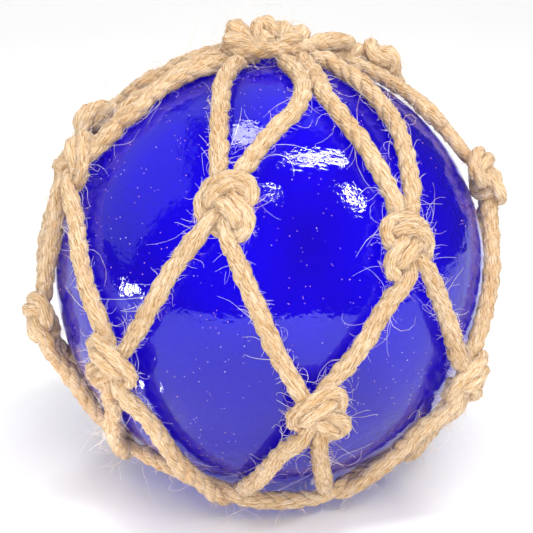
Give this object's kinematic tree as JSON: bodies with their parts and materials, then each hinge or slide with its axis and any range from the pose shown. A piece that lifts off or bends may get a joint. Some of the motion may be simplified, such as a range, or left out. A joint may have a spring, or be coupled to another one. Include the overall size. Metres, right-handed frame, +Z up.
{
  "type": "glass float ball",
  "caption": "Blue blown-glass float ball in a hand-knotted net of jute rope, with a hitched crown ring and a base ring.",
  "frame": {"origin": "middle of the small flat under the ball, on the surface it stands on", "axes": "+Z up through the crown ring of the net, -Y the front seen in the picture, +X to the right"},
  "size_m": [0.1652, 0.1674, 0.162],
  "materials": {
    "glass": "clear cobalt blue blown glass, faintly wavy, with seeds",
    "jute": "raw three-strand jute, hairy, matt"
  },
  "bodies": {
    "root": {"glass_float": "glass", "net_rope_1": "jute", "net_rope_2": "jute", "net_rope_3": "jute", "net_rope_4": "jute", "net_rope_5": "jute", "net_rope_6": "jute", "net_rope_7": "jute", "crown_ring_rope": "jute", "base_ring_rope": "jute"}
  },
  "joints": []
}
